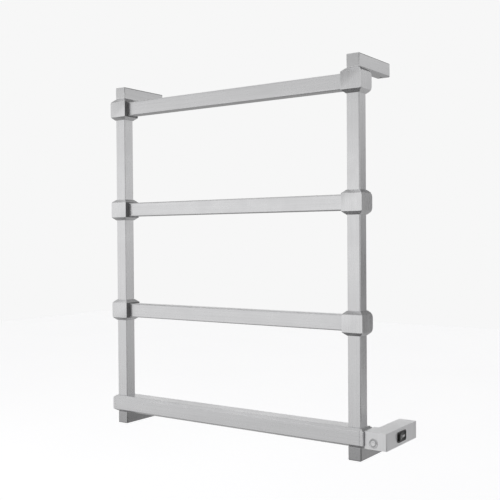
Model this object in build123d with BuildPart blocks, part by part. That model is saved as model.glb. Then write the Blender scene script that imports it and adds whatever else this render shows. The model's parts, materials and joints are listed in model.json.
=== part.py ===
from build123d import *
import os

os.makedirs("parts", exist_ok=True)

# Electric towel warmer rack, held off the wall by four square arms.
# Frame: X to the right, Y into the wall, Z up, millimetres.
# Origin: the middle of the four wall screws, on the wall's surface.

# Driving dimensions
rack_height = 702
post_spacing = 545
standoff = 120
tube = 25
tube_wall = 1.5
tube_corner = 2
fit_gap = 0.15

collar_side = 40
collar_height = 43
bevel_height = 6
bevel_width = 7

rail_height = 28
rail_depth = 22
rail_setback = 1
rail_pitch = 209
rail_count = 3
bottom_rail_height = 33
bottom_bevel_height = 4.5
bottom_bevel_top_width = 5
bottom_cap_length = 7
bottom_rail_wall = 2

housing_width = 42
housing_height = 30
housing_setback = 4.5
housing_front_depth = 39
housing_arm_width = 33
housing_wall = 2

# Planes and centres that follow from them
arm_z = (rack_height - tube) / 2
post_half = rack_height / 2 - tube
post_x = post_spacing / 2
post_y = -standoff + tube / 2
collar_face_x = post_x - collar_side / 2
collar_back_y = post_y + collar_side / 2
rail_y = -standoff + rail_setback + rail_depth / 2
top_rail_z = post_half - collar_height / 2
rail_levels = [top_rail_z - n * rail_pitch for n in range(rail_count)]
bottom_rail_low = -post_half
bottom_rail_high = bottom_rail_low + bottom_rail_height
bottom_rail_z = (bottom_rail_low + bottom_rail_high) / 2
bottom_rail_end = post_x + collar_side / 2
sides = {"left": -1, "right": 1}
wire_hole = 6


def save(builder, name):
    """Label a finished piece and write its file."""
    builder.part.label = name
    export_step(builder.part, f"parts/{name}.step")


def bevelled_block(centre_x, centre_y, width, depth, low, high, rise, top_run):
    """Upright block bevelled all round: bevel_width deep at the bottom and top_run at the top."""
    prism_z(centre_x, centre_y, width, depth, low + rise, high - rise)
    for shoulder_z, face_z, run in ((low + rise, low, bevel_width), (high - rise, high, top_run)):
        with BuildSketch(Plane.XY.offset(shoulder_z)) as shoulder:
            with Locations((centre_x, centre_y)):
                Rectangle(width, depth)
        with BuildSketch(Plane.XY.offset(face_z)) as face:
            with Locations((centre_x, centre_y)):
                Rectangle(width - 2 * run, depth - 2 * run)
        loft(sections=[shoulder.sketch.face(), face.sketch.face()], ruled=True)


def prism_z(x, y, width, depth, low, high, mode=Mode.ADD):
    """Rectangular prism between two heights."""
    with BuildSketch(Plane.XY.offset(low)) as profile:
        with Locations((x, y)):
            Rectangle(width, depth)
    extrude(profile.sketch, amount=high - low, mode=mode)


def prism_x(low, high, y, z, depth, height, mode=Mode.ADD):
    """Rectangular prism along X."""
    with BuildSketch(Plane.YZ.offset(low)) as profile:
        with Locations((y, z)):
            Rectangle(depth, height)
    extrude(profile.sketch, amount=high - low, mode=mode)


def prism_y(front, back, x, z, width, height, mode=Mode.ADD):
    """Rectangular prism along Y, from its front face to its back face."""
    with BuildSketch(Plane.XZ.offset(-back)) as profile:
        with Locations((x, z)):
            Rectangle(width, height)
    extrude(profile.sketch, amount=back - front, mode=mode)


def disc_x(low, high, y, z, radius, mode=Mode.ADD):
    """Round bar or hole along X."""
    with BuildSketch(Plane.YZ.offset(low)) as profile:
        with Locations((y, z)):
            Circle(radius)
    extrude(profile.sketch, amount=high - low, mode=mode)


def disc_y(front, back, x, z, radius, mode=Mode.ADD):
    """Round bar or hole along Y."""
    with BuildSketch(Plane.XZ.offset(-back)) as profile:
        with Locations((x, z)):
            Circle(radius)
    extrude(profile.sketch, amount=back - front, mode=mode)


def disc_z(low, high, x, y, radius, mode=Mode.ADD):
    """Round bar or hole along Z."""
    with BuildSketch(Plane.XY.offset(low)) as profile:
        with Locations((x, y)):
            Circle(radius)
    extrude(profile.sketch, amount=high - low, mode=mode)


# Posts: square tubes between the top arm and the bottom arm of each side
for side, sign in sides.items():
    with BuildPart() as post:
        prism_z(sign * post_x, post_y, tube, tube, -post_half, post_half)
        fillet(post.edges().filter_by(Axis.Z), tube_corner)
        bore = tube - 2 * tube_wall
        prism_z(sign * post_x, post_y, bore, bore, -post_half, post_half, Mode.SUBTRACT)
        if side == "right":
            inner_wall = post_x - tube / 2
            for level in rail_levels + [bottom_rail_z]:
                disc_x(inner_wall, inner_wall + tube_wall, rail_y, level, wire_hole, Mode.SUBTRACT)
            outer_wall = post_x + tube / 2 - tube_wall
            disc_x(outer_wall, outer_wall + tube_wall, rail_y, bottom_rail_z, wire_hole, Mode.SUBTRACT)
    save(post, f"{side}_post")

# Arms: square tubes from the wall to the front of the rack, each closed by a cap.
# The cap's plate stands a hairline off the tube, and its plug sits in the bore.
cap_plate = 2
cap_plug = 6
cap_seam = 0.3
arm_screw_y = -10
set_screw_radius = 2.5
arm_levels = {"top": arm_z, "bottom": -arm_z}
for level_name, level in arm_levels.items():
    for side, sign in sides.items():
        with BuildPart() as arm:
            arm_front = -standoff + cap_plate + cap_seam
            prism_y(arm_front, 0, sign * post_x, level, tube, tube)
            fillet(arm.edges().filter_by(Axis.Y), tube_corner)
            bore = tube - 2 * tube_wall
            prism_y(arm_front, 0, sign * post_x, level, bore, bore, Mode.SUBTRACT)
            underside = level - tube / 2
            hole_x = sign * post_x
            disc_z(underside, underside + tube_wall, hole_x, arm_screw_y, set_screw_radius, Mode.SUBTRACT)
        save(arm, f"{level_name}_{side}_arm")

        with BuildPart() as arm_cap:
            plate_back = -standoff + cap_plate
            prism_y(-standoff, plate_back, sign * post_x, level, tube, tube)
            fillet(arm_cap.edges().filter_by(Axis.Y), tube_corner)
            plug = tube - 2 * tube_wall - 2 * fit_gap
            prism_y(plate_back, plate_back + cap_plug, sign * post_x, level, plug, plug)
        save(arm_cap, f"{level_name}_{side}_arm_cap")

# Wall brackets: solid blocks screwed to the wall, that the arms slide over
bracket_length = 20
bracket_side = tube - 2 * tube_wall - 2 * fit_gap
wall_screw_radius = 2.75
countersink_radius = 5.5
bracket_dimple = 3.5
for level_name, level in arm_levels.items():
    for side, sign in sides.items():
        with BuildPart() as bracket:
            prism_y(-bracket_length, 0, sign * post_x, level, bracket_side, bracket_side)
            with Locations(Plane((sign * post_x, -bracket_length, level), z_dir=(0, -1, 0))):
                CounterSinkHole(wall_screw_radius, countersink_radius)
            block_low = level - bracket_side / 2
            hole_x = sign * post_x
            top = block_low + bracket_dimple
            disc_z(block_low, top, hole_x, arm_screw_y, set_screw_radius, Mode.SUBTRACT)
        save(bracket, f"{level_name}_{side}_wall_bracket")

# Set screws that lock the arms on the brackets, turned in from below
set_screw_length = 4.6
screw_gap = 0.05
hex_socket = 2.5
socket_depth = 2
with BuildPart() as arm_screws:
    for level in arm_levels.values():
        for sign in sides.values():
            low = level - tube / 2 + fit_gap
            disc_z(low, low + set_screw_length, sign * post_x, arm_screw_y, set_screw_radius - screw_gap)
            with BuildSketch(Plane.XY.offset(low)):
                with Locations((sign * post_x, arm_screw_y)):
                    RegularPolygon(hex_socket / 2, 6, major_radius=False)
            extrude(amount=socket_depth, mode=Mode.SUBTRACT)
save(arm_screws, "arm_set_screws")

# Collars: bevelled sleeves round the posts, each with a hollow spigot for its rail
# and a shallow recess for the seal that the rail's end closes on
spigot_length = 20
spigot_gap = 0.3
spigot_height = rail_height - 2 * tube_wall - 2 * spigot_gap
spigot_depth = rail_depth - 2 * tube_wall - 2 * spigot_gap
spigot_bore = 5.5
seal_thickness = 2
seal_proud = 0.2
seal_margin = 0.5
seal_depth = collar_side - 2 * seal_margin
seal_height = collar_height - 2 * bevel_height
post_hole = tube + 0.2
for side, sign in sides.items():
    for number, level in enumerate(rail_levels, start=1):
        low = level - collar_height / 2
        high = level + collar_height / 2
        face = sign * collar_face_x
        recess_floor = sign * (collar_face_x + seal_thickness - seal_proud)
        spigot_tip = sign * (collar_face_x - spigot_length)
        with BuildPart() as collar:
            sleeve = (sign * post_x, post_y, collar_side, collar_side, low, high)
            bevelled_block(*sleeve, bevel_height, bevel_width)
            recess = sorted((face, recess_floor))
            prism_x(*recess, post_y, level, seal_depth, seal_height, Mode.SUBTRACT)
            prism_x(*sorted((spigot_tip, recess_floor)), rail_y, level, spigot_depth, spigot_height)
            prism_z(sign * post_x, post_y, post_hole, post_hole, low, high, Mode.SUBTRACT)
            bore_end = sign * post_x
            disc_x(*sorted((spigot_tip, bore_end)), rail_y, level, spigot_bore, Mode.SUBTRACT)
            disc_y(post_y, collar_back_y, sign * post_x, level, set_screw_radius, Mode.SUBTRACT)
        save(collar, f"{side}_collar_{number}")

        with BuildPart() as seal:
            seal_face = sign * (collar_face_x - seal_proud)
            plate = sorted((seal_face, recess_floor))
            prism_x(*plate, post_y, level, seal_depth - fit_gap, seal_height - fit_gap)
            opening = (spigot_depth + 2 * fit_gap, spigot_height + 2 * fit_gap)
            prism_x(*plate, rail_y, level, *opening, Mode.SUBTRACT)
        save(seal, f"{side}_seal_{number}")

# Set screws that lock the collars on the posts, turned in from the wall side
with BuildPart() as collar_screws:
    for level in rail_levels:
        for sign in sides.values():
            screw_front = -standoff + tube + fit_gap
            screw_back = screw_front + set_screw_length
            disc_y(screw_front, screw_back, sign * post_x, level, set_screw_radius - screw_gap)
            with BuildSketch(Plane.XZ.offset(-screw_back)):
                with Locations((sign * post_x, level)):
                    RegularPolygon(hex_socket / 2, 6, major_radius=False)
            extrude(amount=socket_depth, mode=Mode.SUBTRACT)
save(collar_screws, "collar_set_screws")

# Rails: rectangular tubes between the seals
rail_end = collar_face_x - seal_proud
for number, level in enumerate(rail_levels, start=1):
    with BuildPart() as rail:
        prism_x(-rail_end, rail_end, rail_y, level, rail_depth, rail_height)
        fillet(rail.edges().filter_by(Axis.X), tube_corner)
        bore = (rail_depth - 2 * tube_wall, rail_height - 2 * tube_wall)
        prism_x(-rail_end, rail_end, rail_y, level, *bore, Mode.SUBTRACT)
    save(rail, f"rail_{number}")

# Bottom rail: the thick bevelled rail that the posts pass through
bottom_body_end = bottom_rail_end - bottom_cap_length
bottom_block = (0, post_y, 2 * bottom_rail_end, collar_side, bottom_rail_low, bottom_rail_high)
with BuildPart() as bottom_rail:
    bevelled_block(*bottom_block, bottom_bevel_height, bottom_bevel_top_width)
    span = (post_y, bottom_rail_z, collar_side, bottom_rail_height)
    prism_x(bottom_body_end, bottom_rail_end, *span, Mode.SUBTRACT)
    prism_x(-bottom_rail_end, -bottom_body_end, *span, Mode.SUBTRACT)
    hollow_depth = collar_side - 2 * bevel_width
    hollow_height = bottom_rail_height - 2 * bottom_rail_wall
    hollow = (post_y, bottom_rail_z, hollow_depth, hollow_height)
    prism_x(-bottom_body_end, bottom_body_end, *hollow, Mode.SUBTRACT)
    for sign in sides.values():
        hole_x = sign * post_x
        prism_z(hole_x, post_y, post_hole, post_hole, bottom_rail_low, bottom_rail_high, Mode.SUBTRACT)
save(bottom_rail, "bottom_rail")

# Bottom rail's end caps, with the bevels running round them
conduit_radius = 6
cap_hairline = 0.1
for side, sign in sides.items():
    with BuildPart() as end_cap:
        bevelled_block(*bottom_block, bottom_bevel_height, bottom_bevel_top_width)
        inner = sign * (bottom_body_end + cap_hairline)
        rest = sorted((inner, -sign * bottom_rail_end))
        prism_x(*rest, post_y, bottom_rail_z, collar_side, bottom_rail_height, Mode.SUBTRACT)
        if side == "right":
            bore_span = sorted((post_x, bottom_rail_end))
            disc_x(*bore_span, rail_y, bottom_rail_z, conduit_radius + screw_gap, Mode.SUBTRACT)
    save(end_cap, f"bottom_rail_{side}_cap")

# Heating elements: a sheathed hairpin in each rail, terminals at the right
sheath_radius = 3
leg_offset = 6
element_end = 215
element_turn = -215
ferrule_length = 10
ferrule_height = 20
element_levels = rail_levels + [bottom_rail_z]
for number, level in enumerate(element_levels, start=1):
    with BuildPart() as element:
        with BuildLine(Plane.XZ.offset(-rail_y)):
            upper = Line((element_end, level + leg_offset), (element_turn, level + leg_offset))
            turn = TangentArc(upper @ 1, (element_turn, level - leg_offset), tangent=upper % 1)
            Line(turn @ 1, (element_end, level - leg_offset))
        with BuildSketch(Plane((element_end, rail_y, level + leg_offset), z_dir=(-1, 0, 0))):
            Circle(sheath_radius)
        sweep()
        ferrule_end = element_end + ferrule_length
        prism_x(element_end, ferrule_end, rail_y, level, 2 * sheath_radius, ferrule_height)
    save(element, f"heating_element_{number}")

# Ceramic spacers that carry the elements clear of the rails
spacer_length = 6
spacer_places = (-170, 0, 170)
rail_spacer = (rail_y, spigot_depth, spigot_height)
bottom_spacer = (post_y, hollow_depth - 2 * spigot_gap, hollow_height - 2 * spigot_gap)
spacer_shapes = [rail_spacer] * rail_count + [bottom_spacer]
with BuildPart() as spacers:
    for level, (spacer_y, spacer_depth, spacer_height) in zip(element_levels, spacer_shapes):
        for x in spacer_places:
            ends = (x - spacer_length / 2, x + spacer_length / 2)
            prism_x(*ends, spacer_y, level, spacer_depth, spacer_height)
            for leg in (leg_offset, -leg_offset):
                disc_x(*ends, rail_y, level + leg, sheath_radius + screw_gap, Mode.SUBTRACT)
save(spacers, "element_spacers")

# Wiring loom: a trunk up the right post with a branch to each element
trunk_radius = 3
branch_radius = 2
loom_end = bottom_rail_end + 9
with BuildPart() as loom:
    disc_z(bottom_rail_z, top_rail_z, post_x, rail_y, trunk_radius)
    for level in element_levels:
        disc_x(ferrule_end, post_x, rail_y, level, branch_radius)
    disc_x(post_x, loom_end, rail_y, bottom_rail_z, trunk_radius)
save(loom, "wiring_loom")

# Thermal cut-out on the floor of the bottom rail
cutout_size = (20, 9)
cutout_height = 4
cutout_x = 120
with BuildPart() as thermal_cutout:
    floor_z = bottom_rail_low + bottom_rail_wall
    prism_z(cutout_x, rail_y, *cutout_size, floor_z, floor_z + cutout_height)
    fillet(thermal_cutout.edges().filter_by(Axis.Z), 1)
save(thermal_cutout, "thermal_cutout")

# Control housing: an L-shaped shell beside the bottom rail that runs back to the wall
housing_left = bottom_rail_end
housing_right = housing_left + housing_width
housing_low = bottom_rail_low
housing_high = housing_low + housing_height
housing_z = (housing_low + housing_high) / 2
housing_front = post_y - collar_side / 2 + housing_setback
front_back_y = housing_front + housing_front_depth
arm_left = housing_right - housing_arm_width
arm_centre_x = (arm_left + housing_right) / 2
ceiling_z = housing_high - housing_wall
inner_right = housing_right - housing_wall
rear_wall_front = -3
rear_wall_back = -1

button_x = 310
button_z = housing_low + 11
bezel_radius = 8.4
bezel_sleeve = 5.4
button_radius = 4.7
button_bore = 4.78

rocker_y = -63.5
rocker_flange = (34, 18.4)
rocker_barrel = (30.8, 15)
rocker_opening = (28.4, 12.4)
rocker_depth = 12

grommet_neck = 6
grommet_bore = 3.75
grommet_flange = 7.5
grommet_lip = 3

clamp_y = -14
clamp_reach = 10
clamp_post = 2.6
clamp_low = housing_z - grommet_bore
base_post_radius = 3
base_post_inset = 5.5
middle_post_y = -50
rear_post_y = -30
base_posts = ((housing_right - base_post_inset, housing_front + base_post_inset),
              (housing_left + base_post_inset, front_back_y - base_post_inset),
              (arm_left + base_post_inset, middle_post_y),
              (housing_right - base_post_inset, rear_post_y))
base_pilot_depth = 12
pilot = 1.25
clamp_pilot_depth = 8
board_front = housing_front + 10
board_thickness = 1.6
board_left = housing_left + 9
board_post_radius = 2.2
board_pilot_depth = 5
board_post_x = board_left + 2.5
board_posts = ((board_post_x, housing_z + 8), (board_post_x, button_z - 6))


def housing_outline(shrink, back):
    """The L of the housing in plan, drawn in by a wall's thickness."""
    box_width = housing_width - 2 * shrink
    with Locations(((housing_left + housing_right) / 2, housing_front + housing_front_depth / 2)):
        Rectangle(box_width, housing_front_depth - 2 * shrink)
    leg_front = housing_front + shrink
    with Locations((arm_centre_x, (leg_front + back) / 2)):
        Rectangle(housing_arm_width - 2 * shrink, back - leg_front)


with BuildPart() as housing:
    with BuildSketch(Plane.XY.offset(housing_low)):
        housing_outline(0, 0)
    extrude(amount=housing_height)
    fillet(housing.edges().filter_by(Axis.Z), tube_corner)
    with BuildSketch(Plane.XY.offset(housing_low)):
        housing_outline(housing_wall, rear_wall_front)
    extrude(amount=housing_height - housing_wall, mode=Mode.SUBTRACT)
    recess = (housing_arm_width - 2 * housing_wall, housing_height - 2 * housing_wall)
    prism_y(rear_wall_back, 0, arm_centre_x, housing_z, *recess, Mode.SUBTRACT)
    for x, y in base_posts:
        disc_z(housing_low + housing_wall, ceiling_z, x, y, base_post_radius)
        post_low = housing_low + housing_wall
        disc_z(post_low, post_low + base_pilot_depth, x, y, pilot, Mode.SUBTRACT)
    for reach in (-clamp_reach, clamp_reach):
        disc_z(clamp_low, ceiling_z, arm_centre_x + reach, clamp_y, clamp_post)
        pilot_top = clamp_low + clamp_pilot_depth
        disc_z(clamp_low, pilot_top, arm_centre_x + reach, clamp_y, pilot, Mode.SUBTRACT)
    for x, z in board_posts:
        disc_y(housing_front + housing_wall, board_front, x, z, board_post_radius)
        disc_y(board_front - board_pilot_depth, board_front, x, z, pilot, Mode.SUBTRACT)
    disc_y(housing_front, housing_front + housing_wall, button_x, button_z, bezel_sleeve + screw_gap,
           Mode.SUBTRACT)
    disc_y(rear_wall_front, rear_wall_back, arm_centre_x, housing_z, grommet_neck, Mode.SUBTRACT)
    disc_x(housing_left, housing_left + housing_wall, rail_y, bottom_rail_z, conduit_radius + screw_gap,
           Mode.SUBTRACT)
    cutout = (rocker_barrel[0] + 2 * screw_gap, rocker_barrel[1] + 2 * screw_gap)
    prism_x(inner_right, housing_right, rocker_y, housing_z, *cutout, Mode.SUBTRACT)
save(housing, "control_housing")

# Base plate that closes the housing from below, and its countersunk screws
screw_head = 2.8
head_depth = 1.6
base_screw_length = 11
drive_size = 1
with BuildPart() as housing_base:
    with BuildSketch(Plane.XY.offset(housing_low)):
        housing_outline(housing_wall + fit_gap, rear_wall_front - fit_gap)
    extrude(amount=housing_wall - fit_gap)
    with Locations(*[Plane((x, y, housing_low), z_dir=(0, 0, -1)) for x, y in base_posts]):
        CounterSinkHole(pilot + fit_gap, screw_head + screw_gap)
save(housing_base, "housing_base")

with BuildPart() as base_screws:
    for x, y in base_posts:
        with BuildSketch(Plane.XY.offset(housing_low + fit_gap)):
            with Locations((x, y)):
                Circle(screw_head - fit_gap)
        with BuildSketch(Plane.XY.offset(housing_low + fit_gap + head_depth)):
            with Locations((x, y)):
                Circle(pilot - screw_gap)
        loft()
        disc_z(housing_low + head_depth, housing_low + base_screw_length, x, y, pilot - screw_gap)
        with BuildSketch(Plane.XY.offset(housing_low + fit_gap)):
            with Locations((x, y)):
                RegularPolygon(drive_size, 6)
        extrude(amount=drive_size, mode=Mode.SUBTRACT)
save(base_screws, "base_screws")

# Threaded conduit that carries the loom through the cap, and the nut that clamps it
nut_thickness = 3.5
nut_width = 15
conduit_bore = 4.4
thread_past_nut = 1.5
conduit_start = bottom_body_end + fit_gap
conduit_stop = housing_left + housing_wall + nut_thickness + thread_past_nut
with BuildPart() as conduit:
    disc_x(conduit_start, conduit_stop, rail_y, bottom_rail_z, conduit_radius)
    disc_x(conduit_start, conduit_stop, rail_y, bottom_rail_z, conduit_bore, Mode.SUBTRACT)
save(conduit, "conduit_tube")

with BuildPart() as conduit_nut:
    with BuildSketch(Plane.YZ.offset(housing_left + housing_wall)):
        with Locations((rail_y, bottom_rail_z)):
            RegularPolygon(nut_width / 2, 6, major_radius=False)
            Circle(conduit_radius + screw_gap, mode=Mode.SUBTRACT)
    extrude(amount=nut_thickness)
save(conduit_nut, "conduit_nut")

# Rubber grommet in the rear wall, where the supply cable enters
with BuildPart() as grommet:
    disc_y(rear_wall_front - grommet_lip, rear_wall_front, arm_centre_x, housing_z, grommet_flange)
    disc_y(rear_wall_front, rear_wall_back, arm_centre_x, housing_z, grommet_neck)
    disc_y(rear_wall_back, 0, arm_centre_x, housing_z, grommet_flange)
    disc_y(rear_wall_front - grommet_lip, 0, arm_centre_x, housing_z, grommet_bore, Mode.SUBTRACT)
save(grommet, "cable_grommet")

# Cord clamp under the cable's path, on two posts
clamp_bar = (26, 8, 3)
with BuildPart() as cord_clamp:
    prism_z(arm_centre_x, clamp_y, *clamp_bar[:2], clamp_low - clamp_bar[2], clamp_low)
    fillet(cord_clamp.edges().filter_by(Axis.Z), 2)
    for reach in (-clamp_reach, clamp_reach):
        x = arm_centre_x + reach
        disc_z(clamp_low - clamp_bar[2], clamp_low, x, clamp_y, pilot + fit_gap, Mode.SUBTRACT)
save(cord_clamp, "cord_clamp")

# Push button: a bezel pressed into the front wall, the button and what it presses
bezel_lip = 0.8
sleeve_back = housing_front + 3
button_proud = 1.6
button_travel = 1.5
button_rim = 0.5
retainer_gap = 0.1
retainer_thickness = 1
retainer_radius = 6
plunger_length = 2
plunger_front = board_front - 4.2
plunger_back = plunger_front + plunger_length
plunger_radius = 1.6
tact_side = 6
tact_height = 3
tact_floor = 0.5
with BuildPart() as bezel:
    disc_y(housing_front - bezel_lip, housing_front, button_x, button_z, bezel_radius)
    disc_y(housing_front, sleeve_back, button_x, button_z, bezel_sleeve)
    disc_y(housing_front - bezel_lip, sleeve_back, button_x, button_z, button_bore, Mode.SUBTRACT)
save(bezel, "button_bezel")

with BuildPart() as button:
    retainer_front = sleeve_back + retainer_gap
    retainer_back = retainer_front + retainer_thickness
    disc_y(housing_front - button_proud, retainer_front, button_x, button_z, button_radius)
    front_rim = button.edges().filter_by(GeomType.CIRCLE).sort_by(Axis.Y)[0]
    fillet(front_rim, button_rim)
    disc_y(retainer_front, retainer_back, button_x, button_z, retainer_radius)
    disc_y(retainer_back, plunger_front, button_x, button_z, plunger_radius)
save(button, "push_button")

with BuildPart() as plunger:
    disc_y(plunger_front, plunger_back, button_x, button_z, plunger_radius)
save(plunger, "switch_plunger")

with BuildPart() as tact_switch:
    prism_y(board_front - tact_height, board_front, button_x, button_z, tact_side, tact_side)
    disc_y(board_front - tact_height, board_front - tact_floor, button_x, button_z,
           plunger_radius + screw_gap, Mode.SUBTRACT)
save(tact_switch, "tact_switch")

# Timer board behind the button, with a relay on its back
board_gap = 0.6
board_right = inner_right - board_gap
board_width = board_right - board_left
board_height = 24
relay = (10, 15, 12)
relay_inset = 8
with BuildPart() as control_board:
    board_back = board_front + board_thickness
    board_x = (board_left + board_right) / 2
    prism_y(board_front, board_back, board_x, housing_z, board_width, board_height)
    prism_y(board_back, board_back + relay[2], board_right - relay_inset, housing_z, *relay[:2])
    for x, z in board_posts:
        disc_y(board_front, board_back, x, z, pilot + fit_gap, Mode.SUBTRACT)
save(control_board, "control_board")

# Pan-head screws: two hold the board, two hold the cord clamp
pan_radius = 2.2
pan_height = 1.4
pan_shank = 5.6
with BuildPart() as pan_screws:
    for x, z in board_posts:
        disc_y(board_back, board_back + pan_height, x, z, pan_radius)
        disc_y(board_back - pan_shank, board_back, x, z, pilot - screw_gap)
    for reach in (-clamp_reach, clamp_reach):
        x = arm_centre_x + reach
        bar_low = clamp_low - clamp_bar[2]
        disc_z(bar_low - pan_height, bar_low, x, clamp_y, pan_radius)
        disc_z(bar_low, bar_low + pan_shank, x, clamp_y, pilot - screw_gap)
save(pan_screws, "pan_head_screws")

# Rocker switch in the outer side of the housing; its paddle turns on two trunnions
rocker_lip = 1.2
rocker_corner = 4
pivot_x = housing_right - 0.6
trunnion_radius = 1.2
rocker_tilt = 8
paddle_half = 13.8
paddle_width = rocker_opening[1] - 0.5
paddle_crest = 2.7
paddle_dip = 1.9
paddle_edge = -1.2
paddle_keel = -3.2
rocker_floor = 1.5
trunnion_tip = rocker_opening[1] / 2 + 1
trunnion_gap = 0.1
with BuildPart() as rocker_body:
    prism_x(housing_right, housing_right + rocker_lip, rocker_y, housing_z, *rocker_flange)
    fillet(rocker_body.edges().filter_by(Axis.X), rocker_corner)
    prism_x(housing_right - rocker_depth, housing_right, rocker_y, housing_z, *rocker_barrel)
    hollow_start = housing_right - rocker_depth + rocker_floor
    hollow_stop = housing_right + rocker_lip
    prism_x(hollow_start, hollow_stop, rocker_y, housing_z, *rocker_opening, Mode.SUBTRACT)
    with BuildSketch(Plane.XY.offset(housing_z - trunnion_tip)):
        with Locations((pivot_x, rocker_y)):
            Circle(trunnion_radius + screw_gap)
    extrude(amount=2 * trunnion_tip, mode=Mode.SUBTRACT)
save(rocker_body, "rocker_body")

with BuildPart() as rocker_paddle:
    paddle_plane = Plane((pivot_x, rocker_y, housing_z - paddle_width / 2)).rotated((0, 0, rocker_tilt))
    with BuildSketch(paddle_plane):
        with BuildLine():
            front, back = -paddle_half, paddle_half
            outer = ThreePointArc((paddle_crest, front), (paddle_dip, 0), (paddle_crest, back))
            Polyline(outer @ 1, (paddle_edge, back), (paddle_keel, 0), (paddle_edge, front), outer @ 0)
        make_face()
    extrude(amount=paddle_width)
    trunnion_half = trunnion_tip - trunnion_gap
    disc_z(housing_z - trunnion_half, housing_z + trunnion_half, pivot_x, rocker_y, trunnion_radius)
save(rocker_paddle, "rocker_paddle")

tab_pitch = 8
tab_length = 6
tab_section = (0.8, 4.8)
barrel_back = housing_right - rocker_depth
with BuildPart() as rocker_terminals:
    for offset in (-tab_pitch, 0, tab_pitch):
        prism_x(barrel_back - tab_length, barrel_back, rocker_y + offset, housing_z, *tab_section)
save(rocker_terminals, "rocker_terminals")

# Terminal block under the ceiling of the arm, with its clamping screws
block_x = arm_left + 13
block_y = -30
block_width = 18
block_depth = 16
block_height = 13
block_low = ceiling_z - block_height
block_front = block_y - block_depth / 2
block_back = block_y + block_depth / 2
way_pitch = 5.5
ways = [block_x - way_pitch, block_x, block_x + way_pitch]
way_radius = 1.7
way_z = ceiling_z - 6
screw_well = 1.6
terminal_screw = 1.5
terminal_screw_low = block_low + 1
terminal_screw_high = terminal_screw_low + 3.5
screw_slot = (2.4, 0.5, 0.6)
with BuildPart() as terminal_block:
    prism_z(block_x, block_y, block_width, block_depth, block_low, ceiling_z)
    for x in ways:
        disc_y(block_front, block_back, x, way_z, way_radius, Mode.SUBTRACT)
        disc_z(block_low, way_z, x, block_y, screw_well, Mode.SUBTRACT)
save(terminal_block, "terminal_block")

with BuildPart() as terminal_screws:
    for x in ways:
        disc_z(terminal_screw_low, terminal_screw_high, x, block_y, terminal_screw)
        slot_top = terminal_screw_low + screw_slot[2]
        prism_z(x, block_y, *screw_slot[:2], terminal_screw_low, slot_top, Mode.SUBTRACT)
save(terminal_screws, "terminal_screws")

# Leads from the loom's end to the terminal block
lead_radius = 1.5
lead_bend = 4
turn_start = block_x - 4.5
turn_end = rail_y + 8.5
climb_end = rail_y + 33
lead_path = ((loom_end, rail_y, bottom_rail_z), (turn_start, rail_y, bottom_rail_z),
             (block_x, turn_end, bottom_rail_z), (block_x, climb_end, way_z), (block_x, block_front, way_z))
with BuildPart() as leads:
    with BuildLine() as route:
        FilletPolyline(*lead_path, radius=lead_bend)
    with BuildSketch(Plane(route.line @ 0, z_dir=route.line % 0)):
        Circle(lead_radius)
    sweep()
save(leads, "supply_leads")
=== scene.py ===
import json
import math

import bmesh
import bpy
from mathutils import Matrix, Vector

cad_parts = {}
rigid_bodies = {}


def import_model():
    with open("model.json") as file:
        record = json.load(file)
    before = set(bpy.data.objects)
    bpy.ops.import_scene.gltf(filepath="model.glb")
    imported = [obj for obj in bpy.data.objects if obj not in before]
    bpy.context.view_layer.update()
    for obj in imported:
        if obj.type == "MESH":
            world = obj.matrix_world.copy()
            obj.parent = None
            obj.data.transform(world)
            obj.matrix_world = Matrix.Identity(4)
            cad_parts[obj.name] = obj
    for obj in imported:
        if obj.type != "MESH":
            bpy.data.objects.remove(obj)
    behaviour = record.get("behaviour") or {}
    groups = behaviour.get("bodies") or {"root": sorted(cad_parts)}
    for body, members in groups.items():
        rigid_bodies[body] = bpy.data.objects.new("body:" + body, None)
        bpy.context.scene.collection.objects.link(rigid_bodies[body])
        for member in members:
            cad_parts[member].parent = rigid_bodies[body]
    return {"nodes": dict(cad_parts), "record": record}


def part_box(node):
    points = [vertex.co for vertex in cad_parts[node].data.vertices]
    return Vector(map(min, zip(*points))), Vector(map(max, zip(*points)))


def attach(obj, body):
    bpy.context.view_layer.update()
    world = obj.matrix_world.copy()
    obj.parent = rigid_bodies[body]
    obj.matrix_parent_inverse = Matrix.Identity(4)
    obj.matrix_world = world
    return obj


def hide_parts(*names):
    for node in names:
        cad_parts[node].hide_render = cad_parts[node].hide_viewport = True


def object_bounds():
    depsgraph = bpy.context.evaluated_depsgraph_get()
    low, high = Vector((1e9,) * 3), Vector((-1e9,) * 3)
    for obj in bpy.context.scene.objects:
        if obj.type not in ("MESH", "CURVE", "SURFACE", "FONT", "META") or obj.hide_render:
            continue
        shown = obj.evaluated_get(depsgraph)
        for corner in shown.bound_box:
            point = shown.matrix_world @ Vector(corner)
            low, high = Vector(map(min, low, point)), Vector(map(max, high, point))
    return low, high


# Towel warmer rack: brushed steel tubes, bevelled collars and a control housing.
# Metres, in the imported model's frame: X right, Y into the wall, Z up.

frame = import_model()
cad_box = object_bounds()
nodes = frame["nodes"]
slots = {part["node"]: part["material_slot"] for part in frame["record"]["subparts"]}

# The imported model's own materials make way for the finishes below
for packed in list(bpy.data.materials):
    bpy.data.materials.remove(packed)

MM = 0.001
SIDES = ("left", "right")
NUMBERS = (1, 2, 3)
LEVELS = ("top", "bottom")

# A corner this close to a wanted place is the one that is wanted
NEAR = 0.1 * MM

# Collars: their side, the height of their bevels, the cuts at three corners and the edge radius
COLLAR_SIDE = 40 * MM
COLLAR_BEVEL = 6 * MM
OUTER_REAR_CUT = 6 * MM
OUTER_FRONT_CUT = 3.2 * MM
INNER_FRONT_CUT = 2 * MM
COLLAR_RADIUS = 1.1 * MM

# Edge radii of the pieces that repeat
SEAL_RADIUS = 0.08 * MM
RAIL_RADIUS = 0.4 * MM
ARM_CAP_RADIUS = 1.8 * MM
BRACKET_RADIUS = 0.5 * MM

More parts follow.
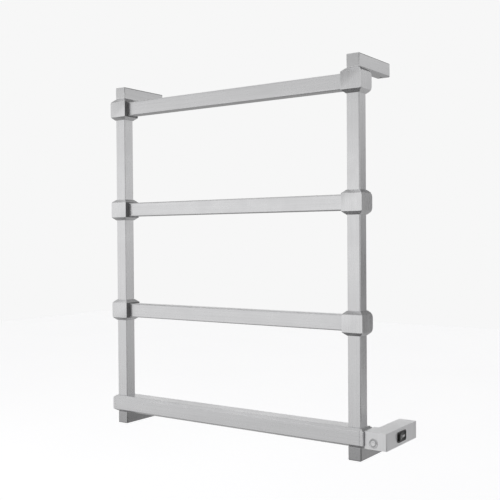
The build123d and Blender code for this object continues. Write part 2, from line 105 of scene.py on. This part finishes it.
# Rocker paddle: half its length, its tilt at rest, how far the middle of its face stands out
# from the pivot, how much further its ends do, and how deep the pivot lies in the housing
PADDLE_HALF = 13.8 * MM
PADDLE_TILT = math.radians(8)
PADDLE_DIP = 1.9 * MM
PADDLE_RISE = 0.8 * MM
PIVOT_DEPTH = 0.6 * MM
PIVOT_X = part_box("control_housing")[1].x - PIVOT_DEPTH


# ---------------------------------------------------------------- node helpers

BLUE_TRACE = 1.012


class Shader:
    """A node material on one Principled shader, built by short calls."""

    def __init__(self, name, metallic=0.0):
        self.material = bpy.data.materials.new(name)
        self.material.use_nodes = True
        self.tree = self.material.node_tree
        self.surface = self.tree.nodes["Principled BSDF"]
        self.surface.inputs["Metallic"].default_value = metallic
        self.place = self.tree.nodes.new("ShaderNodeTexCoord").outputs["Object"]

    def link(self, source, target):
        """Join an output socket to an input socket."""
        self.tree.links.new(source, target)

    def noise(self, size, stretch=(1, 1, 1), detail=3.0, rough=0.55):
        """Noise whose features are about size metres, longer where stretch is above 1."""
        mapping = self.tree.nodes.new("ShaderNodeMapping")
        mapping.inputs["Scale"].default_value = [1 / (size * s) for s in stretch]
        texture = self.tree.nodes.new("ShaderNodeTexNoise")
        texture.inputs["Scale"].default_value = 1.0
        texture.inputs["Detail"].default_value = detail
        texture.inputs["Roughness"].default_value = rough
        self.link(self.place, mapping.inputs["Vector"])
        self.link(mapping.outputs["Vector"], texture.inputs["Vector"])
        return texture.outputs["Fac"]

    def cells(self, size):
        """Rounded cells about size metres across."""
        texture = self.tree.nodes.new("ShaderNodeTexVoronoi")
        texture.inputs["Scale"].default_value = 1 / size
        self.link(self.place, texture.inputs["Vector"])
        return texture.outputs["Distance"]

    def spread(self, factor, low, high, start=0.3, stop=0.7):
        """The factor's range from start to stop, remapped to run from low to high."""
        remap = self.tree.nodes.new("ShaderNodeMapRange")
        remap.inputs["From Min"].default_value = start
        remap.inputs["From Max"].default_value = stop
        remap.inputs["To Min"].default_value = low
        remap.inputs["To Max"].default_value = high
        self.link(factor, remap.inputs["Value"])
        return remap.outputs["Result"]

    def sum(self, first, second):
        """Two factors added together."""
        add = self.tree.nodes.new("ShaderNodeMath")
        self.link(first, add.inputs[0])
        self.link(second, add.inputs[1])
        return add.outputs["Value"]

    def tint(self, factor, dark, light):
        """Base colour that runs from dark to light with the factor."""
        mix = self.tree.nodes.new("ShaderNodeMix")
        mix.data_type = "RGBA"
        mix.inputs["A"].default_value = (*dark, 1)
        mix.inputs["B"].default_value = (*light, 1)
        self.link(factor, mix.inputs["Factor"])
        self.link(mix.outputs["Result"], self.surface.inputs["Base Color"])

    def roughness(self, factor):
        """Roughness that follows the factor."""
        self.link(factor, self.surface.inputs["Roughness"])

    def bump(self, height, depth, strength):
        """Fine relief, depth metres deep."""
        node = self.tree.nodes.new("ShaderNodeBump")
        node.inputs["Strength"].default_value = strength
        node.inputs["Distance"].default_value = depth
        self.link(height, node.inputs["Height"])
        self.link(node.outputs["Normal"], self.surface.inputs["Normal"])


def grey(level):
    """A grey with a trace of blue."""
    return (level, level, level * BLUE_TRACE)


# ------------------------------------------------------------------- materials

# How many times longer than wide the brushing is, along each axis
GRAIN_LENGTH = 60
GRAINS = {"x": (GRAIN_LENGTH, 1, 1), "y": (1, GRAIN_LENGTH, 1), "z": (1, 1, GRAIN_LENGTH)}


def brushed_steel(name, grain, light=0.80, rough=0.30):
    """Satin stainless steel brushed along one axis, with faint handling marks."""
    shader = Shader(name, metallic=1.0)
    fine = shader.noise(0.35 * MM, GRAINS[grain], detail=2)
    bands = shader.noise(3 * MM, GRAINS[grain], detail=3)
    marks = shader.noise(45 * MM, detail=4, rough=0.6)
    shader.tint(shader.sum(shader.spread(fine, 0, 0.5), shader.spread(bands, 0, 0.5)),
                grey(light - 0.10), grey(light))
    shader.roughness(shader.sum(shader.spread(fine, rough - 0.04, rough + 0.04),
                                shader.spread(marks, -0.03, 0.03)))
    shader.bump(fine, 0.02 * MM, 0.35)
    return shader.material


def worn_edge():
    """The same steel where edges have been rubbed smooth."""
    shader = Shader("worn_edge", metallic=1.0)
    rub = shader.noise(4 * MM, detail=4)
    shader.tint(shader.spread(rub, 0, 1), grey(0.74), grey(0.86))
    shader.roughness(shader.spread(rub, 0.18, 0.28))
    shader.bump(rub, 0.02 * MM, 0.2)
    return shader.material


def black_rubber():
    """Matt moulded rubber with a fine skin."""
    shader = Shader("black_rubber")
    skin = shader.noise(0.6 * MM, detail=4)
    bloom = shader.noise(9 * MM)
    shader.tint(shader.spread(bloom, 0, 1), grey(0.165), grey(0.205))
    shader.roughness(shader.spread(skin, 0.55, 0.72))
    shader.bump(skin, 0.05 * MM, 0.4)
    return shader.material


def moulded_plastic(name, dark, light, smooth, matt):
    """Injection-moulded plastic with a spark-eroded texture."""
    shader = Shader(name)
    texture = shader.noise(0.5 * MM, detail=5)
    cloud = shader.noise(14 * MM)
    shader.tint(shader.spread(cloud, 0, 1), dark, light)
    shader.roughness(shader.spread(texture, smooth, matt))
    shader.bump(texture, 0.04 * MM, 0.3)
    return shader.material


def cast_zinc():
    """Die-cast zinc, dull and slightly mottled."""
    shader = Shader("zinc_casting", metallic=1.0)
    mottle = shader.noise(5 * MM, detail=5)
    skin = shader.noise(0.7 * MM, detail=3)
    shader.tint(shader.spread(mottle, 0, 1), grey(0.38), grey(0.52))
    shader.roughness(shader.spread(mottle, 0.42, 0.60))
    shader.bump(skin, 0.08 * MM, 0.4)
    return shader.material


def plated_screw(name, dark, light, rough):
    """Turned and plated steel, with faint tool marks and stains."""
    shader = Shader(name, metallic=1.0)
    turning = shader.noise(0.4 * MM, detail=2)
    stain = shader.noise(3 * MM)
    shader.tint(shader.spread(stain, 0, 1), dark, light)
    shader.roughness(shader.spread(turning, rough - 0.06, rough + 0.06))
    shader.bump(turning, 0.02 * MM, 0.4)
    return shader.material


def element_sheath():
    """Steel sheath, blued by heat in places."""
    shader = Shader("element_sheath", metallic=1.0)
    heat = shader.noise(22 * MM, detail=3)
    drawn = shader.noise(0.5 * MM, GRAINS["x"])
    shader.tint(shader.spread(heat, 0, 1), (0.34, 0.33, 0.36), (0.52, 0.47, 0.40))
    shader.roughness(shader.spread(drawn, 0.30, 0.46))
    shader.bump(drawn, 0.03 * MM, 0.4)
    return shader.material


def ceramic():
    """Unglazed steatite, chalky and fine-grained."""
    shader = Shader("ceramic")
    grain = shader.noise(0.4 * MM, detail=5)
    cloud = shader.noise(5 * MM)
    shader.tint(shader.spread(cloud, 0, 1), (0.66, 0.62, 0.54), (0.80, 0.77, 0.70))
    shader.roughness(shader.spread(grain, 0.62, 0.82))
    shader.bump(grain, 0.06 * MM, 0.5)
    return shader.material


def wire_insulation():
    """Silicone sleeving over the conductors."""
    shader = Shader("wire_insulation")
    skin = shader.noise(1.2 * MM, detail=3)
    dust = shader.noise(12 * MM)
    shader.tint(shader.spread(dust, 0, 1), (0.30, 0.045, 0.030), (0.42, 0.075, 0.050))
    shader.roughness(shader.spread(skin, 0.38, 0.52))
    shader.bump(skin, 0.05 * MM, 0.3)
    return shader.material


def brass():
    """Turned brass, slightly tarnished."""
    shader = Shader("brass", metallic=1.0)
    tarnish = shader.noise(6 * MM, detail=4)
    turning = shader.noise(0.4 * MM, detail=2)
    shader.tint(shader.spread(tarnish, 0, 1), (0.52, 0.37, 0.16), (0.78, 0.60, 0.28))
    shader.roughness(shader.spread(tarnish, 0.26, 0.40))
    shader.bump(turning, 0.03 * MM, 0.3)
    return shader.material


def circuit_board():
    """Green solder mask over the weave of the laminate."""
    shader = Shader("circuit_board")
    weave = shader.cells(0.8 * MM)
    tracks = shader.noise(2.5 * MM, (4, 1, 1), detail=1)
    shader.tint(shader.spread(tracks, 0, 1, 0.45, 0.5), (0.012, 0.085, 0.035), (0.020, 0.150, 0.060))
    shader.roughness(shader.spread(weave, 0.28, 0.42, 0, 0.6))
    shader.bump(weave, 0.03 * MM, 0.3)
    return shader.material


def spun_steel(name, dark, light):
    """Spun steel of the button and its bezel: rings round the button's own axis."""
    shader = Shader(name, metallic=1.0)
    low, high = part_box("button_bezel")
    centre = (low + high) / 2
    mapping = shader.tree.nodes.new("ShaderNodeMapping")
    mapping.inputs["Location"].default_value = (-centre.x, 0, -centre.z)
    wave = shader.tree.nodes.new("ShaderNodeTexWave")
    wave.wave_type = "RINGS"
    wave.rings_direction = "Y"
    wave.inputs["Scale"].default_value = 2 / MM
    wave.inputs["Distortion"].default_value = 1.5
    shader.link(shader.place, mapping.inputs["Vector"])
    shader.link(mapping.outputs["Vector"], wave.inputs["Vector"])
    spun = wave.outputs["Fac"]
    shader.tint(spun, grey(dark), grey(light))
    shader.roughness(shader.spread(spun, 0.24, 0.34, 0, 1))
    shader.bump(spun, 0.01 * MM, 0.5)
    return shader.material


def printed_mark():
    """Pale pad-printed ink, slightly uneven; on the rocker's long bar it is also a painted highlight."""
    shader = Shader("printed_mark")
    ink = shader.noise(1.5 * MM, detail=4)
    shader.tint(shader.spread(ink, 0, 1), grey(0.70), grey(0.82))
    shader.roughness(shader.spread(ink, 0.45, 0.60))
    shader.bump(ink, 0.02 * MM, 0.3)
    return shader.material


def make_materials():
    """One material for each of the record's slots, and those that only looks need."""
    return {
        "brushed_tube": brushed_steel("brushed_tube", "z"),
        "brushed_arm": brushed_steel("brushed_arm", "y", light=0.74, rough=0.19),
        # Darker copy of the arm steel: painted shade on the two arms at the bottom and on their cap rims.
        "lower_arm": brushed_steel("lower_arm", "y", light=0.51, rough=0.19),
        "collar_metal": brushed_steel("collar_metal", "z", rough=0.28),
        "brushed_rail": brushed_steel("brushed_rail", "x"),
        "housing_metal": brushed_steel("housing_metal", "z", light=0.96, rough=0.37),
        "worn_edge": worn_edge(),
        "black_rubber": black_rubber(),
        "black_plastic": moulded_plastic("black_plastic", grey(0.012), grey(0.022), 0.22, 0.36),
        "dark_plastic": moulded_plastic("dark_plastic", grey(0.030), grey(0.050), 0.40, 0.55),
        "pale_plastic": moulded_plastic("pale_plastic", (0.58, 0.57, 0.54), (0.68, 0.67, 0.64), 0.38, 0.52),
        "cutout_case": moulded_plastic("cutout_case", (0.10, 0.07, 0.05), (0.16, 0.11, 0.08), 0.35, 0.50),
        "zinc_casting": cast_zinc(),
        "dark_screw": plated_screw("dark_screw", grey(0.06), grey(0.12), 0.38),
        "bright_screw": plated_screw("bright_screw", grey(0.55), grey(0.68), 0.26),
        "element_sheath": element_sheath(),
        "ceramic": ceramic(),
        "wire_insulation": wire_insulation(),
        "brass": brass(),
        "circuit_board": circuit_board(),
        "button_metal": spun_steel("button_metal", 0.84, 0.94),
        # The bezel's steel is a darker copy of the button's: painted shade for the dark its dish reflects.
        "bezel_metal": spun_steel("bezel_metal", 0.62, 0.74),
        "printed_mark": printed_mark(),
    }


materials = make_materials()


def finish_of(node):
    """The finish of a node's slot in the record; the two arms at the bottom get a darker copy of it, which
    is painted shade.
    """
    if node.startswith("bottom_") and slots[node] == "brushed_arm":
        return "lower_arm"
    return slots[node]


def dress_frame():
    """Every CAD node gets its finish."""
    for name in slots:
        mesh = nodes[name].data
        mesh.materials.clear()
        mesh.materials.append(materials[finish_of(name)])


# ---------------------------------------------------------------------- pieces

def body_of(node):
    """The CAD body that holds a node."""
    return nodes[node].parent.name.split(":")[1]


def finish_piece(piece, node):
    """A piece rides where its CAD node rides, and stands for it."""
    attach(piece, body_of(node))
    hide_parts(node)


def new_piece(name, builder, *finishes):
    """Turn finished mesh work into an object with its materials, free of packed normals."""
    mesh = bpy.data.meshes.new(name)
    builder.to_mesh(mesh)
    builder.free()
    for stale in ("custom_normal", "sharp_face", "sharp_edge"):
        if stale in mesh.attributes:
            mesh.attributes.remove(mesh.attributes[stale])
    for finish in finishes:
        mesh.materials.append(materials[finish])
    piece = bpy.data.objects.new(name, mesh)
    bpy.context.scene.collection.objects.link(piece)
    return piece


def ease_edges(piece, width, limit="ANGLE"):
    """Round the piece's sharp edges, or its weighted ones, in its second material."""
    ease = piece.modifiers.new("eased_edges", "BEVEL")
    ease.width = width
    ease.segments = 3
    ease.limit_method = limit
    ease.angle_limit = math.radians(25)
    ease.harden_normals = True
    ease.material = 1


def clean_copy(node):
    """The node's own shape as a bmesh with one vertex at each corner."""
    weld = 0.001 * MM
    flat = math.radians(0.5)
    shape = bmesh.new()
    shape.from_mesh(nodes[node].data)
    bmesh.ops.remove_doubles(shape, verts=shape.verts, dist=weld)
    bmesh.ops.dissolve_limit(shape, angle_limit=flat, verts=shape.verts, edges=shape.edges)
    for face in shape.faces:
        face.smooth = True
    return shape


def eased_copy(node, width, edge="worn_edge"):
    """The node's own shape with its sharp edges eased to small radii."""
    piece = new_piece(f"{node}_body", clean_copy(node), finish_of(node), edge)
    ease_edges(piece, width)
    finish_piece(piece, node)


def rimmed_cap(node, width, rim):
    """An arm's end cap that is rounded only round its front face, in the rim's finish."""
    shape = clean_copy(node)
    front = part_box(node)[0].y
    weight = shape.edges.layers.float.new("bevel_weight_edge")
    for edge in shape.edges:
        if all(abs(vertex.co.y - front) < NEAR for vertex in edge.verts):
            edge[weight] = 1
    piece = new_piece(f"{node}_body", shape, finish_of(node), rim)
    ease_edges(piece, width, limit="WEIGHT")
    finish_piece(piece, node)


def soft_collar(node, width):
    """A collar with three corners ground away, top and bottom, before its edges are eased."""
    shape = clean_copy(node)
    low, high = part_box(node)
    outer, inner = low.x, low.x + COLLAR_SIDE
    if node.startswith("right"):
        outer, inner = high.x, high.x - COLLAR_SIDE
    shoulders = (low.z + COLLAR_BEVEL, high.z - COLLAR_BEVEL)
    corners = ((outer, high.y, OUTER_REAR_CUT), (outer, low.y, OUTER_FRONT_CUT),
               (inner, low.y, INNER_FRONT_CUT))
    for x, y, cut in corners:
        spots = [Vector((x, y, z)) for z in shoulders]
        ground = [v for v in shape.verts if any((v.co - spot).length < NEAR for spot in spots)]
        bmesh.ops.bevel(shape, geom=ground, offset=cut, segments=2, profile=0.5, affect="VERTICES")
    for face in shape.faces:
        face.smooth = True
    piece = new_piece(f"{node}_body", shape, slots[node], "worn_edge")
    ease_edges(piece, width)
    finish_piece(piece, node)


def lathe(name, node, finish, profile, closed=False, segments=72):
    """Turn a profile of (radius, depth behind the node's front) round the node's middle."""
    low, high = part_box(node)
    centre = Vector(((low.x + high.x) / 2, low.y, (low.z + high.z) / 2))
    turned = bmesh.new()
    rings = []
    for radius, depth in profile:
        if radius == 0:
            rings.append([turned.verts.new(centre + Vector((0, depth, 0)))] * segments)
            continue
        ring = []
        for step in range(segments):
            angle = 2 * math.pi * step / segments
            offset = Vector((radius * math.cos(angle), depth, radius * math.sin(angle)))
            ring.append(turned.verts.new(centre + offset))
        rings.append(ring)
    pairs = list(zip(rings, rings[1:]))
    if closed:
        pairs.append((rings[-1], rings[0]))
    for first, second in pairs:
        for step in range(segments):
            after = (step + 1) % segments
            loop = dict.fromkeys((first[step], first[after], second[after], second[step]))
            turned.faces.new(list(loop)).smooth = True
    bmesh.ops.recalc_face_normals(turned, faces=turned.faces)
    piece = new_piece(name, turned, finish)
    split = piece.modifiers.new("crisp_edges", "EDGE_SPLIT")
    split.split_angle = math.radians(40)
    finish_piece(piece, node)


def radius_and_length(node):
    """Outer radius and length of a node that is turned round a Y axis."""
    low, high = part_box(node)
    return (high.x - low.x) / 2, high.y - low.y


def make_bezel():
    """A dished ring that leads down to the button, on a sleeve."""
    outer, length = radius_and_length("button_bezel")
    seat = 0.8 * MM
    sleeve = 5.4 * MM
    bore = 4.82 * MM
    mouth = ((bore, length), (bore, seat), (bore + 0.2 * MM, 0.6 * MM))
    dish = ((outer - 1.3 * MM, 0.1 * MM), (outer - 0.9 * MM, 0), (outer - 0.5 * MM, 0.02 * MM))
    rim = ((outer - 0.12 * MM, 0.2 * MM), (outer, 0.5 * MM), (outer, seat))
    tail = ((sleeve, seat), (sleeve, length))
    lathe("button_bezel_ring", "button_bezel", "bezel_metal", mouth + dish + rim + tail, closed=True)


def make_button():
    """The button: a shallow dish inside a rounded rim, and the stem behind it."""
    retainer, length = radius_and_length("push_button")
    radius = 4.7 * MM
    retainer_front = 4.7 * MM
    retainer_back = 5.7 * MM
    stem = 1.6 * MM
    dish = ((0, 0.12 * MM), (1.8 * MM, 0.1 * MM), (3.0 * MM, 0.05 * MM), (3.7 * MM, 0))
    rim = ((4.15 * MM, 0.06 * MM), (4.5 * MM, 0.26 * MM), (radius, 0.7 * MM))
    flange = ((radius, retainer_front), (retainer, retainer_front), (retainer, retainer_back))
    tail = ((stem, retainer_back), (stem, length), (0, length))
    lathe("push_button_cap", "push_button", "button_metal", dish + rim + flange + tail)


def make_grommet():
    """A soft-lipped rubber grommet in the rear wall."""
    outer, length = radius_and_length("cable_grommet")
    bore = 3.75 * MM
    neck = 6 * MM
    lip = 3 * MM
    rear_flange = 1 * MM
    rear = length - rear_flange
    soft = 0.6 * MM
    mouth = ((bore, soft), (bore + soft, 0), (outer - 2 * soft, 0))
    front_lip = ((outer - 0.3 * soft, 0.7 * soft), (outer, 2 * soft), (outer, lip))
    groove = ((neck, lip), (neck, rear))
    rear_lip = ((outer, rear), (outer - 0.4 * soft, length), (bore + soft, length), (bore, length - soft))
    profile = mouth + front_lip + groove + rear_lip
    lathe("cable_grommet_ring", "cable_grommet", "black_rubber", profile, closed=True)


def paddle_point(along, out, up):
    """A point of the tilted paddle, measured from its pivot: along it, outwards and up."""
    low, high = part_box("rocker_paddle")
    pivot = Vector((PIVOT_X, (low.y + high.y) / 2, (low.z + high.z) / 2))
    tilt = Matrix.Rotation(PADDLE_TILT, 3, "Z")
    return pivot + tilt @ Vector((out, along, up))


def paddle_face(along):
    """How far the dished face stands out from the pivot."""
    return PADDLE_DIP + PADDLE_RISE * (along / PADDLE_HALF) ** 2


def make_paddle():
    """The rocker's paddle: a dished bar with a keel, on two trunnions."""
    half_width = 5.95 * MM
    edge = -1.2 * MM
    keel = -3.2 * MM
    trunnion = 1.2 * MM
    trunnion_end = 7.1 * MM
    softness = 0.5 * MM
    face_steps = 40
    axle_steps = 24
    places = [PADDLE_HALF * (2 * step / face_steps - 1) for step in range(face_steps + 1)]
    outline = [(along, paddle_face(along)) for along in places]
    outline += [(PADDLE_HALF, edge), (0, keel), (-PADDLE_HALF, edge)]
    angles = [2 * math.pi * step / axle_steps for step in range(axle_steps)]
    axle = [(trunnion * math.sin(angle), trunnion * math.cos(angle)) for angle in angles]
    shape = bmesh.new()

    def extrude(loop, bottom, top):
        """A closed prism between two heights."""
        feet = [shape.verts.new(paddle_point(*point, bottom)) for point in loop]
        heads = [shape.verts.new(paddle_point(*point, top)) for point in loop]
        shape.faces.new(feet)
        shape.faces.new(heads)
        for index, foot in enumerate(feet):
            after = (index + 1) % len(feet)
            shape.faces.new((foot, feet[after], heads[after], heads[index]))

    extrude(outline, -half_width, half_width)
    extrude(axle, half_width, trunnion_end)
    extrude(axle, -trunnion_end, -half_width)
    bmesh.ops.recalc_face_normals(shape, faces=shape.faces)
    for face in shape.faces:
        face.smooth = True
    piece = new_piece("rocker_paddle_body", shape, "black_plastic", "black_plastic")
    ease_edges(piece, softness)
    finish_piece(piece, "rocker_paddle")


def make_rocker_print_and_highlight():
    """A bar on the rocker's rear half and a ring on its front half, just proud of the paddle. The long pale
    bar is a printed mark and a painted highlight along the paddle in one.
    """
    proud = 0.12 * MM
    bar_start = 0.6 * MM
    bar_length = 12.8 * MM
    bar_height = 3.6 * MM
    bar_drop = 0.8 * MM
    bar_steps = 8
    bar_slit = 0.05
    ring_place = -7 * MM
    ring_radius = 2.4 * MM
    ring_width = 0.5 * MM
    ring_steps = 32
    marks = bmesh.new()

    def band(inner, outer):
        """Raised band between two loops of (along, up) points."""
        rims = [(inner, proud), (outer, proud), (outer, -proud), (inner, -proud)]
        loops = [[marks.verts.new(paddle_point(a, paddle_face(a) + rise, up)) for a, up in loop]
                 for loop, rise in rims]
        for first, second in zip(loops, loops[1:] + loops[:1]):
            for index in range(len(inner)):
                after = (index + 1) % len(inner)
                marks.faces.new((first[index], first[after], second[after], second[index]))

    def circle(radius):
        """Loop round the ring's centre."""
        angles = [2 * math.pi * step / ring_steps for step in range(ring_steps)]
        return [(ring_place + radius * math.cos(a), radius * math.sin(a)) for a in angles]

    def bar(scale):
        """The bar's outline, drawn in towards its middle by the scale."""
        middle = bar_start + bar_length / 2
        half_length = scale * bar_length / 2
        half_height = scale * bar_height / 2
        along = [middle + half_length * (2 * step / bar_steps - 1) for step in range(bar_steps + 1)]
        lower = [(place, -half_height - bar_drop) for place in along]
        return lower + [(place, half_height - bar_drop) for place in reversed(along)]

    band(circle(ring_radius), circle(ring_radius + ring_width))
    # The bar runs nearly the whole rear half and is partly painted highlight on the paddle.
    band(bar(bar_slit), bar(1))
    bmesh.ops.recalc_face_normals(marks, faces=marks.faces)
    piece = new_piece("rocker_marks", marks, "printed_mark")
    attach(piece, body_of("rocker_paddle"))


def make_eased_pieces():
    """Collars, seals, caps, brackets, bottom rail, housing and blocks whose edges are eased."""
    for side in SIDES:
        for number in NUMBERS:
            soft_collar(f"{side}_collar_{number}", COLLAR_RADIUS)
            eased_copy(f"{side}_seal_{number}", SEAL_RADIUS, "black_rubber")
        eased_copy(f"bottom_rail_{side}_cap", RAIL_RADIUS)
        rimmed_cap(f"top_{side}_arm_cap", ARM_CAP_RADIUS, "worn_edge")
        # The bottom caps' rims take the darker copy of the arm steel: painted shade for the dark line at
        # their corners.
        rimmed_cap(f"bottom_{side}_arm_cap", ARM_CAP_RADIUS, "lower_arm")
        for level in LEVELS:
            eased_copy(f"{level}_{side}_wall_bracket", BRACKET_RADIUS, "zinc_casting")
    eased_copy("bottom_rail", RAIL_RADIUS)
    eased_copy("control_housing", 0.9 * MM)
    eased_copy("housing_base", 0.12 * MM)
    eased_copy("rocker_body", 0.45 * MM, "black_plastic")
    eased_copy("cord_clamp", 0.4 * MM, "pale_plastic")
    eased_copy("terminal_block", 0.3 * MM, "pale_plastic")


# ---------------------------------------------------------------------- studio

BACKDROP = 0.93
FLOOR_REACH = 6.0
FLOOR_DROP = 0.45
FLOOR_GLOW = 0.53

# How bright the studio is in five directions round the rack: (elevation in degrees, level)
FRONT_LEFT = ((-80, 0.45), (-68, 0.10), (-62, 0.04), (-55, 0.10), (-46, 0.48), (-28, 0.50), (-20, 0.40),
              (-15, 0.42), (-12.5, 0.90), (-6, 0.80), (3, 1.06), (8.5, 1.06), (12, 0.40), (30, 0.42),
              (48, 1.00), (65, 0.85))
BACK_LEFT = ((-78, 0.45), (-66, 0.03), (-57, 0.05), (-49, 0.32), (-40, 0.55), (-34, 0.45), (-26, 0.26),
             (-14, 0.36), (-8, 0.40), (-3, 0.32), (6, 0.78), (12, 1.00), (18, 1.00), (25, 0.12),
             (42, 0.25), (50, 0.85), (55, 0.75), (59, 0.10), (70, 0.20))
BACK_RIGHT = ((-60, 0.10), (-36, 0.60), (-24, 0.60), (-16, 0.52), (-11, 0.54), (-6, 0.06), (0, 0.20),
              (4, 0.22), (10, 0.58), (15, 0.95), (23, 0.10), (60, 0.20))
RIGHT = ((-60, 0.25), (-32, 0.55), (-21, 0.40), (-18, 0.03), (-13.5, 0.03), (-11, 0.45), (-7, 0.60),
         (0, 0.84), (8.5, 0.95), (12, 0.25), (20, 0.50), (60, 0.30))
FRONT_RIGHT = ((-60, 0.30), (-45, 0.70), (-27, 0.75), (-21, 0.40), (-18, 0.01), (-11, 0.02), (-7, 0.45),
               (6, 0.60), (12, 0.10), (20, 0.35), (60, 0.50))


def make_floor():
    """A plain pale floor well below the rack, which hangs on a wall."""
    z = cad_box[0][2] - FLOOR_DROP
    corners = ((-1, -1), (1, -1), (1, 1), (-1, 1))
    mesh = bpy.data.meshes.new("floor")
    mesh.from_pydata([(FLOOR_REACH * x, FLOOR_REACH * y, z) for x, y in corners], [], [(0, 1, 2, 3)])
    floor = bpy.data.objects.new("floor", mesh)
    bpy.context.scene.collection.objects.link(floor)
    shader = Shader("floor")
    cloud = shader.noise(0.8)
    shader.tint(shader.spread(cloud, 0, 1), grey(0.84), grey(0.86))
    shader.surface.inputs["Roughness"].default_value = 0.9
    shader.surface.inputs["Specular IOR Level"].default_value = 0.0
    shader.surface.inputs["Emission Color"].default_value = (1, 1, 1, 1)
    shader.surface.inputs["Emission Strength"].default_value = FLOOR_GLOW
    mesh.materials.append(shader.material)
    floor.visible_glossy = False
    floor.visible_diffuse = False


def make_world():
    """Soft studio that the metal reflects, behind an even pale backdrop that the camera sees."""
    world = bpy.data.worlds.new("studio")
    bpy.context.scene.world = world
    world.use_nodes = True
    tree = world.node_tree
    tree.nodes.clear()
    link = tree.links.new
    place = tree.nodes.new("ShaderNodeTexCoord").outputs["Generated"]
    axes = tree.nodes.new("ShaderNodeSeparateXYZ")
    link(place, axes.inputs["Vector"])

    def remap(socket, start, stop):
        """Smooth rise from 0 to 1 as the socket goes from start to stop."""
        rise = tree.nodes.new("ShaderNodeMapRange")
        rise.interpolation_type = "SMOOTHSTEP"
        rise.inputs["From Min"].default_value = start
        rise.inputs["From Max"].default_value = stop
        link(socket, rise.inputs["Value"])
        return rise.outputs["Result"]

    height = tree.nodes.new("ShaderNodeMapRange")
    height.inputs["From Min"].default_value = -1
    link(axes.outputs["Z"], height.inputs["Value"])

    def profile(stops):
        """Grey that follows the stops from the lowest elevation to the highest."""
        ramp = tree.nodes.new("ShaderNodeValToRGB")
        points = ramp.color_ramp.elements
        while len(points) < len(stops):
            points.new(0.5)
        for point, (elevation, level) in zip(points, stops):
            point.position = (math.sin(math.radians(elevation)) + 1) / 2
            point.color = (level, level, level, 1)
        link(height.outputs["Result"], ramp.inputs["Fac"])
        return ramp.outputs["Color"]

    def turn(first, second, factor):
        """First direction's profile turning into the second's."""
        mix = tree.nodes.new("ShaderNodeMix")
        mix.data_type = "RGBA"
        link(factor, mix.inputs["Factor"])
        link(first, mix.inputs["A"])
        link(second, mix.inputs["B"])
        return mix.outputs["Result"]

    # The directions turn into one another over these spans of X and Y
    back = turn(profile(BACK_LEFT), profile(BACK_RIGHT), remap(axes.outputs["X"], -0.2, 0.4))
    back = turn(back, profile(RIGHT), remap(axes.outputs["X"], 0.42, 0.75))
    front = turn(profile(FRONT_LEFT), profile(FRONT_RIGHT), remap(axes.outputs["X"], 0.05, 0.5))
    light = turn(front, back, remap(axes.outputs["Y"], -0.3, 0.15))

    seen = tree.nodes.new("ShaderNodeBackground")
    seen.inputs["Color"].default_value = (BACKDROP, BACKDROP, BACKDROP, 1)
    studio = tree.nodes.new("ShaderNodeBackground")
    link(light, studio.inputs["Color"])
    mix = tree.nodes.new("ShaderNodeMixShader")
    link(tree.nodes.new("ShaderNodeLightPath").outputs["Is Camera Ray"], mix.inputs["Fac"])
    link(studio.outputs["Background"], mix.inputs[1])
    link(seen.outputs["Background"], mix.inputs[2])
    link(mix.outputs["Shader"], tree.nodes.new("ShaderNodeOutputWorld").inputs["Surface"])


def area_light(name, place, target, width, height, power):
    """A rectangular softbox that faces the target and doesn't show in the metal."""
    data = bpy.data.lights.new(name, "AREA")
    data.shape = "RECTANGLE"
    data.size = width
    data.size_y = height
    data.energy = power
    lamp = bpy.data.objects.new(name, data)
    lamp.location = place
    lamp.rotation_euler = (Vector(target) - Vector(place)).to_track_quat("-Z", "Y").to_euler()
    lamp.visible_glossy = False
    bpy.context.scene.collection.objects.link(lamp)


def make_camera():
    """A camera off the rack's right front, at about the height of its middle."""
    place = Vector((0.9434, -1.3928, 0.0343))
    yaw = 0.609
    pitch = -0.014
    roll = -0.007
    forward = Vector((-math.sin(yaw) * math.cos(pitch), math.cos(yaw) * math.cos(pitch), math.sin(pitch)))
    level_right = Vector((math.cos(yaw), math.sin(yaw), 0))
    level_up = level_right.cross(forward)
    right = level_right * math.cos(roll) + level_up * math.sin(roll)
    up = level_up * math.cos(roll) - level_right * math.sin(roll)
    data = bpy.data.cameras.new("camera")
    data.sensor_width = 36
    data.lens = 59.83
    camera = bpy.data.objects.new("camera", data)
    turn = Matrix((right, up, -forward)).transposed()
    camera.matrix_world = Matrix.Translation(place) @ turn.to_4x4()
    bpy.context.scene.collection.objects.link(camera)
    bpy.context.scene.camera = camera


dress_frame()
make_eased_pieces()
make_bezel()
make_button()
make_grommet()
make_paddle()
make_rocker_print_and_highlight()
make_floor()
make_world()
area_light("key_softbox", place=(-1.6, -2.2, 1.6), target=(0, 0, 0), width=1.8, height=1.8, power=20)
make_camera()
bpy.context.scene.view_settings.view_transform = "Standard"
